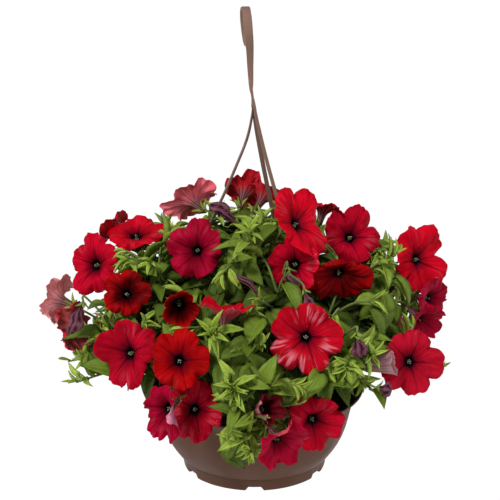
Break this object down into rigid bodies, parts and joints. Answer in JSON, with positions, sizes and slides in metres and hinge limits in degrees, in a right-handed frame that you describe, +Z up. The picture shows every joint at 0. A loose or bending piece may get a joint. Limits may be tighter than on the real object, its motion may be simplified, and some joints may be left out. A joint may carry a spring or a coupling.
{
  "type": "petunia hanging basket",
  "caption": "Petunia plant in a shallow plastic pot, hung from a moulded hanger with a hook and three slender arms that clip inside the flared rim.",
  "frame": {"origin": "the seat inside the hook, at the top of its curve, straight above the foot of the hanger", "axes": "+Z is up, along the hanger's shank; -Y faces the viewer of the main side; +X is to that viewer's right"},
  "size_m": [0.4763, 0.4412, 0.5323],
  "materials": {
    "pot_plastic": "matt taupe-brown moulded plastic",
    "hanger_plastic": "satin taupe-brown moulded plastic",
    "soil": "damp dark peat",
    "foliage": "soft, slightly hairy green leaf",
    "petals": "velvety red petal"
  },
  "bodies": {
    "root": {"pot": "pot_plastic", "potting_soil": "soil", "hanger": "hanger_plastic", "flower_01": "petals", "flower_02": "petals", "flower_03": "petals", "flower_04": "petals", "flower_05": "petals", "flower_06": "petals", "flower_07": "petals", "flower_08": "petals", "flower_09": "petals", "flower_10": "petals", "flower_11": "petals", "flower_12": "petals", "flower_13": "petals", "flower_14": "petals", "flower_15": "petals", "flower_16": "petals", "flower_17": "petals", "flower_18": "petals", "flower_19": "petals", "flower_20": "petals", "flower_21": "petals", "flower_22": "petals", "flower_23": "petals", "flower_24": "petals", "flower_25": "petals", "flower_26": "petals", "flower_27": "petals", "flower_28": "petals", "flower_29": "petals", "flower_30": "petals", "flower_31": "petals", "flower_32": "petals", "flower_33": "petals", "flower_34": "petals", "flower_35": "petals", "flower_36": "petals", "flower_37": "petals", "flower_38": "petals", "flower_39": "petals", "branch_01": "foliage", "branch_02": "foliage", "branch_03": "foliage", "branch_04": "foliage", "branch_05": "foliage", "branch_06": "foliage", "branch_07": "foliage", "branch_08": "foliage", "branch_09": "foliage", "branch_10": "foliage", "branch_11": "foliage", "branch_12": "foliage", "branch_13": "foliage", "branch_14": "foliage", "branch_15": "foliage", "branch_16": "foliage", "branch_17": "foliage", "branch_18": "foliage"}
  },
  "joints": []
}
